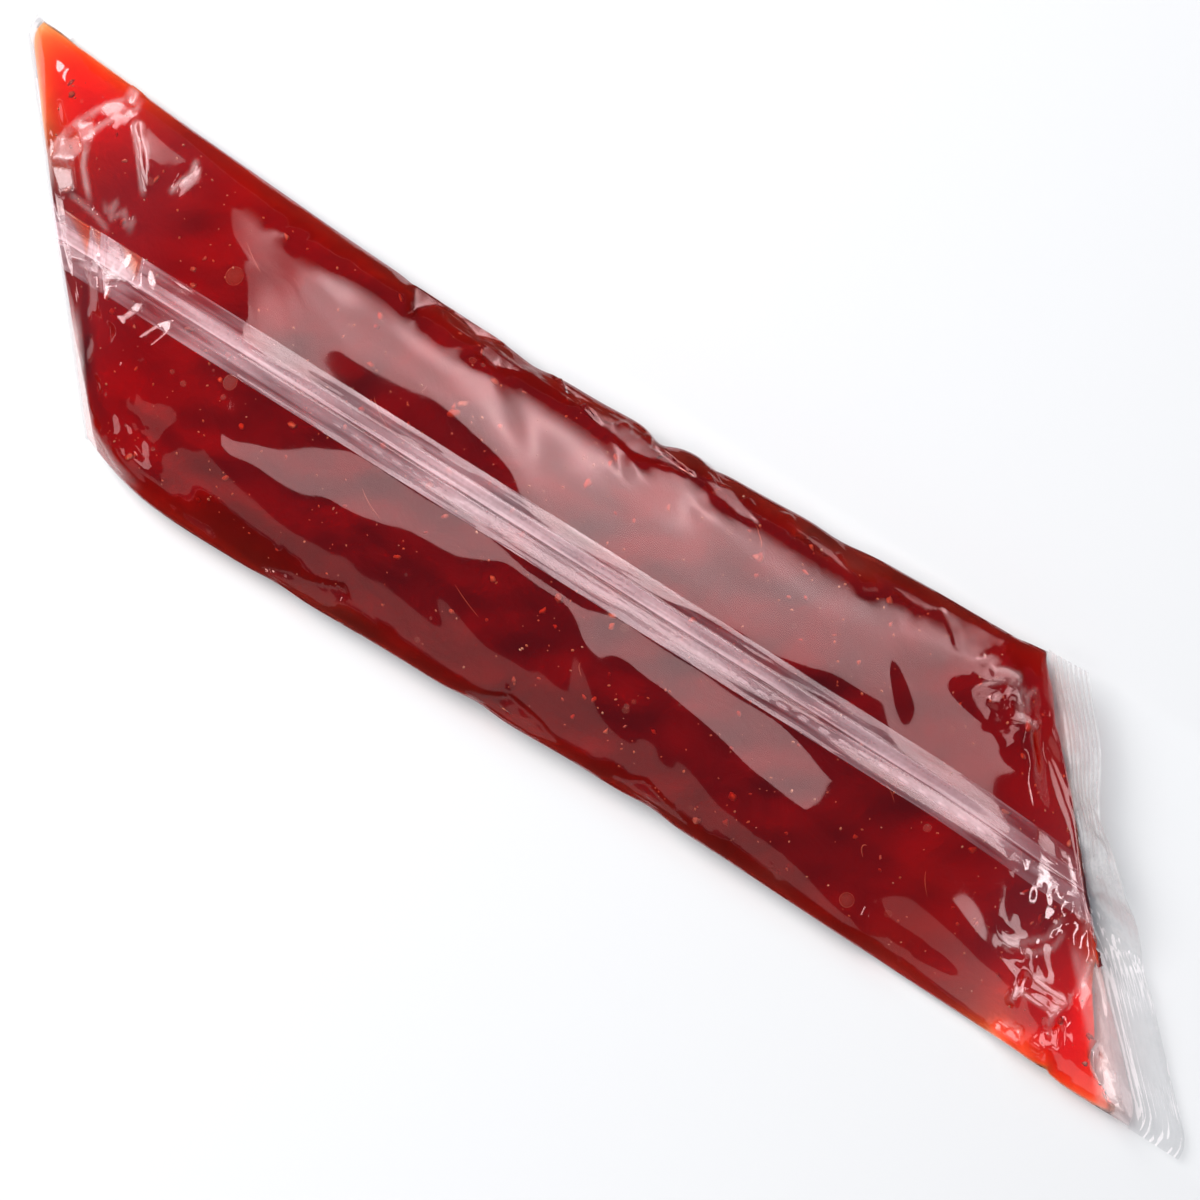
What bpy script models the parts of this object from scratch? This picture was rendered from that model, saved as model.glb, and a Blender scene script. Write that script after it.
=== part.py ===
"""A clear plastic sleeve of strawberry pie filling, lying on its flat underside.

The sleeve is a tube of film, closed by a flat seam along its back and by a slanted seal across each end.
Filled, it is a pillow whose plan is a parallelogram: the two acute corners are thin, and the middle is
drawn in a little, because the film's girth is the same all along. The far seal sticks out as a ribbed
fin, half of it turned up, and the near one is folded under the end. Sealed and never opened, it is one
closed solid.

Frame, in metres: +X along the tube from the folded end to the fin, +Z up, and the origin under the middle
of the whole thing, on the surface that it lies on.
"""

import math

import bmesh
import bpy

MM = 0.001

# Driving dimensions of the sleeve.
LAY_FLAT_WIDTH = 103.0 * MM     # the empty tube pressed flat
AXIS_LENGTH = 342.0 * MM        # from seal to seal, along the middle of the tube
WAIST_WIDTH = 90.0 * MM         # the full tube at its middle
TOP_HEIGHT = 33.0 * MM          # the full tube at its middle, lying down
END_TOP_HEIGHT = 14.0 * MM      # what its height would fall to at the seals
FILM_FIN = 0.8 * MM             # thickness given to two layers of film
SEAM_WIDTH = 14.0 * MM          # the back seam
FIN_WIDTH = 12.5 * MM           # the far seal, across its ribs
TUCK_WIDTH = 8.0 * MM           # the near seal, past its fold

# How far along the tube each seal runs for each unit across it.
NEAR_SLANT = 0.86
FAR_SLANT_BACK = 0.84           # on the +Y half of the far end, where the fin is turned up
FAR_SLANT_FRONT = 1.04          # on the -Y half, where the fin lies flat
FIN_TWIST = 9.0 * MM            # half of the stretch across the tube where one turns into the other
FIN_LEAN = math.radians(44.0)   # how far the back half of the fin is turned up
FIN_DROOP = math.radians(-5.0)  # and how far the front half hangs

# The outline seen from above.
WAIST_POWER = 1.2               # how evenly the tube narrows towards its middle
HEIGHT_POWER = 2.0              # and how evenly its height falls towards its ends
WAIST_SHIFT = -2.4 * MM         # the middle lies this far to one side
BLUNT_CORNER_IN = 8.0 * MM      # the near -Y corner is drawn in by this
BLUNT_CORNER_LENGTH = 0.10      # over this share of the length
ROUND_FROM = 0.84               # the acute corners are rounded from this share of the half width
ROUND_BY = 5.0 * MM

# The rounded shape between the seals.
SIDE_HEIGHT = 12.0 * MM         # height of the widest line of the tube at its middle
SEAL_HEIGHT = 7.5 * MM          # height of an end seal where it leaves the body
CORNER_HEIGHT = 3.6 * MM        # height of a seal at its acute corner
TAPER = 48.0 * MM               # length over which an end fills out, on the middle line
CORNER_TAPER = 0.25             # how much longer that is at an acute corner, and shorter at the other
UNDER_START = 9.0 * MM          # the underside keeps its height this far in, over the folded seal
TOP_FULLNESS = 2.0              # powers that shape the cross-section: 2 is an ellipse
FOOT_FULLNESS = 2.2
FOOT_SPREAD = 1.4               # over 1, so that the underside has a flat to lie on

# The near seal's fold.
FOLD_REACH = 1.6 * MM           # how far it stands out past the end
TUCK_HEIGHT = 1.5 * FILM_FIN    # middle of the folded seal, which lies on the back seam's own thickness

# How finely the skin is divided.
BODY_RINGS = 60
FIN_RINGS = 3
FOLD_RINGS = 6
TUCK_RINGS = 2
SIDE_STEPS = 9                  # from the widest line to the back seam
SEAM_STEPS = 4
FOOT_STEPS = 22
SEAM_SHOULDER = 0.05 * MM       # how far the back seam's edge leans


def blend(a, b, t):
    return a + (b - a) * t


def smooth_step(t):
    """0 to 1 with flat ends."""
    t = min(max(t, 0.0), 1.0)
    return t * t * (3.0 - 2.0 * t)


def half_width(s):
    """Half of the tube's width at the share s of its length."""
    return blend(WAIST_WIDTH, LAY_FLAT_WIDTH, abs(2.0 * s - 1.0) ** WAIST_POWER) / 2.0


def acuteness(end, across):
    """1 at an acute corner and -1 at a blunt one. end is 0 at the near seal and 1 at the far one."""
    return across * (1.0 - 2.0 * end)


def fin_side(y):
    """1 on the back half of the far end, 0 on its front half, with the twist between them."""
    return smooth_step((y + FIN_TWIST) / (2.0 * FIN_TWIST))


def slant(s, y):
    """The rings follow the seals' slant at the ends and cross the tube squarely in the middle."""
    if s < 0.5:
        return NEAR_SLANT * (1.0 - 2.0 * s)
    return blend(FAR_SLANT_FRONT, FAR_SLANT_BACK, fin_side(y)) * (2.0 * s - 1.0)


def plan_point(s, across):
    """(x, y) at the share s of the length and the share across, from -1 to 1, of the half width."""
    drawn_in = max(1.0 - s / BLUNT_CORNER_LENGTH, 0.0) ** 2 * smooth_step(-across) * BLUNT_CORNER_IN
    y = across * half_width(s) + WAIST_SHIFT * (1.0 - (2.0 * s - 1.0) ** 2) + drawn_in
    end = float(s > 0.5)
    tip = max(acuteness(end, across) - ROUND_FROM, 0.0) / (1.0 - ROUND_FROM)
    pulled_back = (1.0 - 2.0 * end) * ROUND_BY * tip ** 2 * (2.0 * s - 1.0) ** 2
    return (s - 0.5) * AXIS_LENGTH - slant(s, y) * y + pulled_back, y


def swelling(s, across, start=0.0):
    """How full the tube is at a point of the plan: 0 at a seal and 1 past the tapered end."""
    from_end = min(s, 1.0 - s) * AXIS_LENGTH - start
    taper = TAPER * (1.0 + CORNER_TAPER * acuteness(round(s), across))
    t = min(max(from_end / taper, 0.0), 1.0)
    return math.sqrt(1.0 - (1.0 - t) ** 2)


def seal_height(end, across):
    return blend(SEAL_HEIGHT, CORNER_HEIGHT, smooth_step(acuteness(end, across)))


def top_height(s):
    """Height of the middle line of the tube. It falls as the tube widens, because the girth is fixed."""
    return blend(TOP_HEIGHT, END_TOP_HEIGHT, abs(2.0 * s - 1.0) ** HEIGHT_POWER)


def side_height(s, across):
    """Height of the line where the upper and the lower film meet, which the seals lead into."""
    full = SIDE_HEIGHT * top_height(s) / TOP_HEIGHT
    return blend(seal_height(round(s), across), full, smooth_step(swelling(s, across)))


def arch(across, fullness):
    return max(1.0 - abs(across) ** fullness, 0.0) ** (1.0 / fullness)


def upper_z(s, across):
    low = side_height(s, across) + FILM_FIN / 2.0
    return blend(low, top_height(s), swelling(s, across) * arch(across, TOP_FULLNESS))


def lower_z(s, across):
    start = UNDER_START if s < 0.5 else 0.0
    high = side_height(s, across) - FILM_FIN / 2.0
    spread = FOOT_SPREAD * swelling(s, across, start) * arch(across, FOOT_FULLNESS)
    return blend(high, 0.0, min(spread, 1.0))


def ring_lines(s):
    """The lines that each ring of the skin crosses: (share across, lift) for the upper film from +Y to -Y,
    and shares across for the lower film back again. The back seam has a fixed width and a lift."""
    edge = SEAM_WIDTH / 2.0 / half_width(s)
    top = edge - SEAM_SHOULDER / half_width(s)
    start = math.asin(edge)
    sides = [math.sin(blend(math.pi / 2.0, start, i / SIDE_STEPS)) for i in range(SIDE_STEPS + 1)]
    upper = [(across, 0.0) for across in sides]
    upper += [(blend(top, -top, i / SEAM_STEPS), FILM_FIN) for i in range(SEAM_STEPS + 1)]
    upper += [(-across, 0.0) for across in reversed(sides)]
    lower = [-math.cos(math.pi * i / FOOT_STEPS) for i in range(1, FOOT_STEPS)]
    return upper, lower


def body_ring(s):
    """One ring of the pillow, at the share s of its length."""
    upper, lower = ring_lines(s)
    ring = []
    for across, lift in upper:
        height = side_height(s, across) if abs(across) == 1.0 else upper_z(s, across) + lift
        ring.append((*plan_point(s, across), height))
    ring += [(*plan_point(s, across), lower_z(s, across)) for across in lower]
    return ring


def seal_ring(end, offset_at, turn_at):
    """One ring of an end seal, two layers of film pressed together. offset_at gives how far (along, up) the
    middle of the film has gone from the seal's root, and turn_at the way its outer side faces: 0 up,
    a quarter turn towards -X, half a turn down."""
    upper, lower = ring_lines(end)
    lines = [(across, 0.0 if abs(across) == 1.0 else FILM_FIN / 2.0 + lift) for across, lift in upper]
    lines += [(across, -FILM_FIN / 2.0) for across in lower]
    ring = []
    for across, out in lines:
        x, y = plan_point(end, across)
        along, up = offset_at(across)
        turn = turn_at(across)
        height = seal_height(end, across) + up + out * math.cos(turn)
        ring.append((x + along - out * math.sin(turn), y, height))
    return ring


def fin_ring(share):
    """The far seal sticks out of the end, turned up at the back and hanging a little at the front."""
    reach = share * FIN_WIDTH

    def lean_at(across):
        return blend(FIN_DROOP, FIN_LEAN, fin_side(plan_point(1.0, across)[1]))

    def offset_at(across):
        lean = lean_at(across)
        return reach * math.cos(lean) * math.hypot(1.0, FAR_SLANT_BACK), reach * math.sin(lean)

    return seal_ring(1.0, offset_at, lambda across: share * lean_at(across))


def fold_ring(turn):
    """The near seal turns down round its fold."""

    def offset_at(across):
        radius = (seal_height(0.0, across) - TUCK_HEIGHT) / 2.0
        return -min(radius, FOLD_REACH) * math.sin(turn), -radius * (1.0 - math.cos(turn))

    return seal_ring(0.0, offset_at, lambda across: turn)


def tuck_ring(share):
    """Past the fold the near seal lies under the end."""
    reach = share * TUCK_WIDTH * math.hypot(1.0, NEAR_SLANT)

    def offset_at(across):
        return reach, TUCK_HEIGHT - seal_height(0.0, across)

    return seal_ring(0.0, offset_at, lambda across: math.pi)


def add_skin(mesh, rings):
    """Joins rings of equal length into one skin, open at both ends, and returns its end loops."""
    loops = [[mesh.verts.new(point) for point in ring] for ring in rings]
    count = len(loops[0])
    for first, second in zip(loops, loops[1:]):
        for i in range(count):
            j = (i + 1) % count
            mesh.faces.new((first[i], first[j], second[j], second[i]))
    return loops[0], loops[-1]


def close_edge(mesh, loop, upper_count):
    """Closes the free edge of a seal with triangles from the upper film's points to the lower film's,
    which are fewer, stepping on the side whose next point comes first across the tube."""
    upper = loop[1:upper_count - 1]
    lower = loop[upper_count:][::-1]
    mesh.faces.new((loop[0], lower[0], upper[0]))
    mesh.faces.new((loop[upper_count - 1], upper[-1], lower[-1]))
    i = j = 0
    while i < len(upper) - 1 or j < len(lower) - 1:
        if j == len(lower) - 1 or (i < len(upper) - 1 and upper[i + 1].co.y >= lower[j + 1].co.y):
            mesh.faces.new((upper[i], lower[j], upper[i + 1]))
            i += 1
        else:
            mesh.faces.new((upper[i], lower[j], lower[j + 1]))
            j += 1


def filling_material():
    """Dark red filling behind clear film."""
    material = bpy.data.materials.new("strawberry_filling_in_film")
    material.use_nodes = True
    shader = material.node_tree.nodes["Principled BSDF"]
    shader.inputs["Base Color"].default_value = (0.20, 0.008, 0.012, 1.0)
    shader.inputs["Roughness"].default_value = 0.12
    shader.inputs["Metallic"].default_value = 0.0
    return material


def centre_in_plan(mesh):
    """Moves the middle of the mesh's box, seen from above, to the origin."""
    spans = [[v.co[axis] for v in mesh.verts] for axis in range(2)]
    middle = [-(min(span) + max(span)) / 2.0 for span in spans]
    bmesh.ops.translate(mesh, verts=mesh.verts, vec=(*middle, 0.0))


def build_bag():
    rings = [tuck_ring(i / TUCK_RINGS) for i in range(TUCK_RINGS, 0, -1)]
    rings += [fold_ring(math.pi * i / FOLD_RINGS) for i in range(FOLD_RINGS, 0, -1)]
    rings += [body_ring(i / BODY_RINGS) for i in range(BODY_RINGS + 1)]
    rings += [fin_ring(i / FIN_RINGS) for i in range(1, FIN_RINGS + 1)]

    mesh = bmesh.new()
    upper_count = len(ring_lines(0.0)[0])
    for loop in add_skin(mesh, rings):
        close_edge(mesh, loop, upper_count)
    bmesh.ops.recalc_face_normals(mesh, faces=mesh.faces)
    centre_in_plan(mesh)

    data = bpy.data.meshes.new("filling_bag")
    mesh.to_mesh(data)
    mesh.free()
    data.shade_smooth()
    data.set_sharp_from_angle(angle=math.radians(40.0))
    data.materials.append(filling_material())
    bag = bpy.data.objects.new("filling_bag", data)
    bpy.context.scene.collection.objects.link(bag)


def main():
    for leftover in list(bpy.data.objects):
        bpy.data.objects.remove(leftover)
    build_bag()


main()
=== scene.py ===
"""The looks of a clear sealed sleeve of strawberry pie filling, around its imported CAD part.

The film is a pouch that Blender's cloth simulation fills to its volume on the floor. Creases are then pressed
into it, and everything else follows its skin: the gel with its pulp, seeds and bubbles inside, the back seam
on it, the ribbed fin at the far end and the folded seal at the near one.

Lengths are in millimetres until put_mesh turns them into metres. x, y and z are those of the row frame.
"""

import math

import bmesh
import bpy
import numpy as np
from mathutils import Matrix, Vector


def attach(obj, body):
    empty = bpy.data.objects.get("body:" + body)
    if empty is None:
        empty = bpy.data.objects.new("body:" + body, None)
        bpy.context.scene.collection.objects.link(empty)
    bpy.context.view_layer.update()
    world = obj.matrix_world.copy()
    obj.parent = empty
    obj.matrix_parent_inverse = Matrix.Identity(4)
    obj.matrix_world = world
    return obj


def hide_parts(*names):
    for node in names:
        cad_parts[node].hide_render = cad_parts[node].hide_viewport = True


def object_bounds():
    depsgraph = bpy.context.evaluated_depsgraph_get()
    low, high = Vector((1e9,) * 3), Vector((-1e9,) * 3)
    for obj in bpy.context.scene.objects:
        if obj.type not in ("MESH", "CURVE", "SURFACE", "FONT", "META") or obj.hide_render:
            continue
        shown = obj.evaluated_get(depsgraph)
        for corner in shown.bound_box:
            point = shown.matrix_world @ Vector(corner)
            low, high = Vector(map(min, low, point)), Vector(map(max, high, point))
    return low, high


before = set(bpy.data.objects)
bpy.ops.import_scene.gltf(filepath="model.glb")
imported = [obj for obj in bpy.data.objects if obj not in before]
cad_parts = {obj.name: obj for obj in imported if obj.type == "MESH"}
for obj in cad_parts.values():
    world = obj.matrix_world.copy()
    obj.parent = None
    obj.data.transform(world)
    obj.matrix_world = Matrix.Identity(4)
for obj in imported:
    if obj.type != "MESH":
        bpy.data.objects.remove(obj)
CAD_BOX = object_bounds()
BODY = "root"
MM = 0.001
FULL_TURN = 2 * math.pi

# The plan of the bag, as in the CAD part.
LAY_FLAT_WIDTH, AXIS_LENGTH, WAIST_WIDTH = 103.0, 342.0, 90.0
TOP_HEIGHT, END_TOP_HEIGHT = 33.0, 14.0
FIN_WIDTH, TUCK_WIDTH, FOLD_REACH = 12.5, 8.0, 1.6
NEAR_SLANT, FAR_SLANT_BACK, FAR_SLANT_FRONT, FIN_TWIST = 0.86, 0.84, 1.04, 9.0
FIN_LEAN, FIN_DROOP = math.radians(44.0), math.radians(-5.0)
WAIST_POWER, HEIGHT_POWER, WAIST_SHIFT = 1.2, 2.0, -2.4
BLUNT_CORNER_IN, BLUNT_CORNER_LENGTH, ROUND_FROM, ROUND_BY = 8.0, 0.10, 0.84, 5.0
SIDE_HEIGHT, SEAL_HEIGHT, CORNER_HEIGHT = 12.0, 7.5, 3.6
TAPER, CORNER_TAPER, UNDER_START = 48.0, 0.25, 9.0
TOP_FULLNESS, FOOT_FULLNESS, FOOT_SPREAD = 2.0, 2.2, 1.15
TUCK_MIDDLE = 1.2


def blend(a, b, t):
    return a + (b - a) * t


def smooth(t):
    """0 to 1 with flat ends."""
    t = np.clip(t, 0.0, 1.0)
    return t * t * (3.0 - 2.0 * t)


def hill(t):
    """1 at 0, falling smoothly to nothing past 2 or so."""
    return np.exp(-t * t)


def waves(seed, x, y, longest, shortest):
    """Smooth seeded unevenness of unit size."""
    draw, count = np.random.default_rng(seed), 24
    lengths = draw.uniform(shortest, longest, count)
    total = 0.0
    for length, way, phase in zip(lengths, *draw.uniform(0, FULL_TURN, (2, count))):
        total = total + np.cos((x * math.cos(way) + y * math.sin(way)) * FULL_TURN / length + phase)
    return total / math.sqrt(count / 2)


def half_width(s):
    return blend(WAIST_WIDTH, LAY_FLAT_WIDTH, np.abs(2 * s - 1) ** WAIST_POWER) / 2


def acuteness(end, across):
    return across * (1 - 2 * end)


def into_tip(sharpness):
    """How far into an acute corner a point lies, 0 to 1."""
    return np.maximum(sharpness - ROUND_FROM, 0) / (1 - ROUND_FROM)


def fin_side(y):
    return smooth((y + FIN_TWIST) / (2 * FIN_TWIST))


def far_slant(y):
    return blend(FAR_SLANT_FRONT, FAR_SLANT_BACK, fin_side(y))


def slant(s, y):
    return np.where(s < 0.5, NEAR_SLANT * (1 - 2 * s), far_slant(y) * (2 * s - 1))


def plan_point(s, across):
    """(x, y) of the CAD part at the share s of its length and the share across of its half width."""
    drawn_in = np.maximum(1 - s / BLUNT_CORNER_LENGTH, 0) ** 2 * smooth(-across) * BLUNT_CORNER_IN
    y = across * half_width(s) + WAIST_SHIFT * (1 - (2 * s - 1) ** 2) + drawn_in
    end = (s > 0.5) * 1.0
    tip = into_tip(acuteness(end, across))
    pulled_back = (1 - 2 * end) * ROUND_BY * tip ** 2 * (2 * s - 1) ** 2
    return (s - 0.5) * AXIS_LENGTH - slant(s, y) * y + pulled_back, y


def swelling(s, across, start=0.0):
    from_end = np.minimum(s, 1 - s) * AXIS_LENGTH - start
    taper = TAPER * (1 + CORNER_TAPER * acuteness(np.round(s), across))
    t = np.clip(from_end / taper, 0, 1)
    return np.sqrt(1 - (1 - t) ** 2)


def seal_height(end, across):
    return blend(SEAL_HEIGHT, CORNER_HEIGHT, smooth(acuteness(end, across)))


def top_height(s):
    return blend(TOP_HEIGHT, END_TOP_HEIGHT, np.abs(2 * s - 1) ** HEIGHT_POWER)


def side_height(s, across):
    full = SIDE_HEIGHT * top_height(s) / TOP_HEIGHT
    return blend(seal_height(np.round(s), across), full, smooth(swelling(s, across)))


def arch(across, fullness):
    return np.maximum(1 - np.abs(across) ** fullness, 0) ** (1 / fullness)


def upper_z(s, across):
    return blend(side_height(s, across), TOP_HEIGHT, swelling(s, across) * arch(across, TOP_FULLNESS))


def lower_z(s, across):
    start = np.where(s < 0.5, UNDER_START, 0)
    spread = FOOT_SPREAD * swelling(s, across, start) * arch(across, FOOT_FULLNESS)
    return blend(side_height(s, across), 0, np.minimum(spread, 1))


def share_of(material):
    """Where a point at this share of the flat film's half width lies across the filled bag."""
    return blend(material, np.sin(material * math.pi / 2), 0.35)


def seal_lean(across):
    return blend(FIN_DROOP, FIN_LEAN, fin_side(plan_point(np.float64(1.0), across)[1]))


def fin_reach(across, reach):
    """(along, up) of the far seal at this reach from its root."""
    lean = seal_lean(across)
    return reach * np.cos(lean) * math.hypot(1, FAR_SLANT_BACK), reach * np.sin(lean)


# The plan's x is measured from the middle of the tube, and the row frame's from the middle of the whole bag.
EDGES = np.linspace(-1, 1, 201)
FIN_TIP = (plan_point(np.float64(1.0), EDGES)[0] + fin_reach(EDGES, FIN_WIDTH)[0]).max()
PLAN_SHIFT = CAD_BOX[1].x / MM - FIN_TIP

# The cloth simulation.
STEP = 3.2                # mm between its points
SIM_SCALE = 10.0          # it works on a bag ten times the size
SIM_FRAMES = 50
CLOSING_FRAMES = 20       # the seals move together over these
END_EXTRA, MIDDLE_EXTRA = 1.0, 4.5   # the film is cut this much wider than the lay-flat width
WIDENING = 0.12           # the middle's extra is reached at this share of the length
SLACK = 13.0              # and it is cut this much longer than the bag
FILL_VOLUME = 745.0       # cm3
FLOOR_GAP = 10.0          # the flat film starts this high over the floor
START_GAP = 1.5           # and each face this far from its middle
FILM_CLOTH = dict(quality=10, mass=0.3, air_damping=1.0, tension_stiffness=80, compression_stiffness=20,
                  shear_stiffness=40, bending_stiffness=0.3, tension_damping=15, compression_damping=15,
                  shear_damping=15, bending_damping=0.5, use_pressure=True, use_pressure_volume=True,
                  uniform_pressure_force=0, pressure_factor=160, fluid_density=1)
# Where the sides start pinched in: x along the film, side, depth.
PINCHES = ((-33, 1, .45), (12, 1, .6), (70, 1, .45), (-60, -1, .45), (5, -1, .6), (62, -1, .45))


def linked(name, data):
    made = bpy.data.objects.new(name, data)
    bpy.context.scene.collection.objects.link(made)
    return made


def unit(vector):
    return vector / np.linalg.norm(vector, axis=-1, keepdims=True)


def rectangle(x0, y0, x1, y1, z):
    return [(x0, y0, z), (x1, y0, z), (x1, y1, z), (x0, y1, z)]


def quads(index):
    """The quads between the neighbours in a grid of point numbers."""
    return np.stack((index[:-1, :-1], index[1:, :-1], index[1:, 1:], index[:-1, 1:]), -1).reshape(-1, 4)


def pouch_grids(rows, columns):
    """Flat and filled places of the film's grid, each (rows + 1, columns + 1, 3), for both faces."""
    s = np.linspace(0, 1, rows + 1)[:, None]
    across = np.linspace(-1, 1, columns + 1)[None, :]
    extra = blend(END_EXTRA, MIDDLE_EXTRA, smooth(np.minimum(s, 1 - s) / WIDENING))
    y = across * (LAY_FLAT_WIDTH + extra) / 2
    start = -AXIS_LENGTH / 2 - NEAR_SLANT * y + ROUND_BY * into_tip(across) ** 2
    finish = AXIS_LENGTH / 2 - far_slant(y) * y + SLACK - ROUND_BY * into_tip(-across) ** 2
    x = blend(start, finish, s)
    for place, side, depth in PINCHES:
        y = y - side * depth * hill((x - place) / 7) * smooth((across * side - .55) / .45)
    gap = START_GAP * np.minimum(1, np.minimum(s, 1 - s) * AXIS_LENGTH / 15) ** .5
    gap = gap * np.minimum(1, (1 - np.abs(across)) * LAY_FLAT_WIDTH / 24) ** .5
    share = share_of(across)
    px, py = plan_point(s, share)
    flat, filled = [], []
    for sign, height in ((1, upper_z(s, share)), (-1, lower_z(s, share))):
        edge = np.zeros_like(height, bool)
        edge[0] = edge[-1] = edge[:, 0] = edge[:, -1] = True
        flat.append(np.stack([x, y, FLOOR_GAP + sign * np.where(edge, 0, gap)], -1))
        filled.append(np.stack([px, py, np.where(edge, side_height(s, share), height)], -1))
    return flat, filled


def fill_pouch():
    """The film's two faces after the simulation, in plan millimetres: top and bottom grids."""
    rows, columns = round(AXIS_LENGTH / STEP), 2 * round(LAY_FLAT_WIDTH / STEP / 2)
    flat, filled = pouch_grids(rows, columns)
    inner = (slice(1, -1), slice(1, -1))
    top = np.arange((rows + 1) * (columns + 1)).reshape(rows + 1, columns + 1)
    bottom = top.copy()
    bottom[inner] = top.size + np.arange((rows - 1) * (columns - 1)).reshape(rows - 1, columns - 1)
    to_sim = SIM_SCALE * MM
    basis, closed = (np.concatenate([over.reshape(-1, 3), under[inner].reshape(-1, 3)]) * to_sim
                     for over, under in (flat, filled))
    mesh = bpy.data.meshes.new("pouch")
    faces = np.concatenate([quads(top), quads(bottom)[:, ::-1]])
    mesh.from_pydata(basis.tolist(), [], faces.tolist())
    pouch = linked("pouch", mesh)
    pins = pouch.vertex_groups.new(name="pin")
    pins.add([int(i) for i in np.r_[top[0], top[-1]]], 1.0, "REPLACE")
    pouch.shape_key_add(name="Basis")
    key = pouch.shape_key_add(name="closed")
    key.data.foreach_set("co", closed.ravel())
    for value, when in ((0, 1), (1, 1 + CLOSING_FRAMES)):
        key.value = value
        key.keyframe_insert("value", frame=when)

    half = 0.4 * SIM_SCALE
    ground = bpy.data.meshes.new("ground")
    ground.from_pydata(rectangle(-half, -half, half, half, 0), [], [(0, 1, 2, 3)])
    ground = linked("ground", ground)
    ground.modifiers.new("collision", "COLLISION")
    ground.collision.thickness_outer = 0.0002 * SIM_SCALE
    ground.collision.cloth_friction = 5

    cloth = pouch.modifiers.new("cloth", "CLOTH")
    film = cloth.settings
    for key, value in FILM_CLOTH.items():
        setattr(film, key, value)
    film.vertex_group_mass = "pin"
    film.target_volume = FILL_VOLUME * 1e-6 * SIM_SCALE ** 3
    film.effector_weights.gravity = 1
    cloth.collision_settings.distance_min = 0.0001 * SIM_SCALE
    cloth.collision_settings.collision_quality = 2
    cloth.collision_settings.use_self_collision = False
    cloth.point_cache.frame_start = 1
    cloth.point_cache.frame_end = SIM_FRAMES + 1
    scene = bpy.context.scene
    for number in range(1, SIM_FRAMES + 2):
        scene.frame_set(number)
    evaluated = pouch.evaluated_get(bpy.context.evaluated_depsgraph_get())
    places = np.empty(len(mesh.vertices) * 3)
    evaluated.data.vertices.foreach_get("co", places)
    places = places.reshape(-1, 3) / to_sim
    for leftover in (pouch, ground):
        data = leftover.data
        bpy.data.objects.remove(leftover)
        bpy.data.meshes.remove(data)
    scene.frame_set(1)
    return places[top], places[bottom]


# The fine skin: rows along the tube, and a ring of columns round it, from the -Y side over the top.
ROWS, RING = 380, 224
HALF = RING // 2


def spline_weights(count, places, wrap):
    """A matrix that takes count samples to smooth values between them, at places in sample steps."""
    cell = np.floor(places).astype(int)
    if not wrap:
        cell = np.minimum(cell, count - 2)
    f = places - cell
    parts = ((1 - f) ** 3 / 6, (3 * f ** 3 - 6 * f ** 2 + 4) / 6,
             (-3 * f ** 3 + 3 * f ** 2 + 3 * f + 1) / 6, f ** 3 / 6)
    weights = np.zeros((len(places), count))
    rows = np.arange(len(places))
    for step, part in zip((-1, 0, 1, 2), parts):
        at = cell + step
        if wrap:
            np.add.at(weights, (rows, at % count), part)
            continue
        inside = np.clip(at, 0, count - 1)
        past = at - inside      # a sample past the end carries on in a straight line
        np.add.at(weights, (rows, inside), part * (1 + np.abs(past)))
        np.add.at(weights, (rows, np.clip(inside - past, 0, count - 1)), -part * np.abs(past))
    return weights


def fine_skin(top, bottom):
    """The film as (ROWS + 1, RING, 3) points in the row frame."""
    rings = np.concatenate([top, bottom[:, -2:0:-1]], 1)
    along = spline_weights(rings.shape[0], np.linspace(0, rings.shape[0] - 1, ROWS + 1), False)
    around = spline_weights(rings.shape[1], np.arange(RING) * rings.shape[1] / RING, True)
    skin = np.einsum("ri,ikc,jk->rjc", along, rings, around)
    skin[..., 0] += PLAN_SHIFT
    return skin


def grid_normals(points, wrap=True):
    """Unit normals of a grid of points whose second direction may be a ring."""
    right = np.roll(points, -1, 1) - np.roll(points, 1, 1) if wrap else np.gradient(points, axis=1)
    normals = np.cross(np.gradient(points, axis=0), right)
    return normals / np.maximum(np.linalg.norm(normals, axis=-1, keepdims=True), 1e-9)


CORNER_REACH, SEAL_REACH = 54, 9        # along the tube from its ends


def calmed(grid, drawn):
    """Takes the curl out of the corners, where the seals make the film stiff: they follow the plain shape."""
    s = np.linspace(0, 1, grid.shape[0])[:, None]
    across = np.abs(np.linspace(-1, 1, grid.shape[1]))[None, :]
    from_end = np.minimum(s, 1 - s) * AXIS_LENGTH
    share = smooth(1 - from_end / CORNER_REACH) * smooth((across - 0.4) / 0.4)
    share = share + 0.5 * smooth(1 - from_end / SEAL_REACH)
    return blend(grid, drawn, np.clip(share, 0, 1)[..., None])


def softened(rows, width):
    """A grid, or a line, evened out along its first direction over so many rows."""
    reach = int(3 * width)
    weights = np.exp(-0.5 * (np.arange(-reach, reach + 1) / width) ** 2)
    padded = np.pad(rows, [(reach, reach)] + [(0, 0)] * (rows.ndim - 1), mode="edge")
    return sum(padded[i:i + len(rows)] * weight for i, weight in enumerate(weights / weights.sum()))


def fitted(skin, plain):
    """Moves the long edges out to their plain line, and keeps the small puckers in them."""
    moved = skin.copy()
    for column, side in ((0, -1), (HALF, 1)):
        gap = softened(plain[:, column, 1] - skin[:, column, 1], 12)
        share = np.clip(skin[..., 1] * side / np.abs(skin[:, column, 1])[:, None], 0, 1) ** 1.5
        moved[..., 1] += share * gap[:, None]
    return moved


top, bottom = fill_pouch()
drawn = pouch_grids(top.shape[0] - 1, top.shape[1] - 1)[1]
skin = fitted(fine_skin(calmed(top, drawn[0]), calmed(bottom, drawn[1])), fine_skin(*drawn))
LOWEST = 0.15       # how far the film stays over the floor
skin[..., 2] = np.maximum(skin[..., 2], LOWEST)

# --- the lie of the film ---

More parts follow.
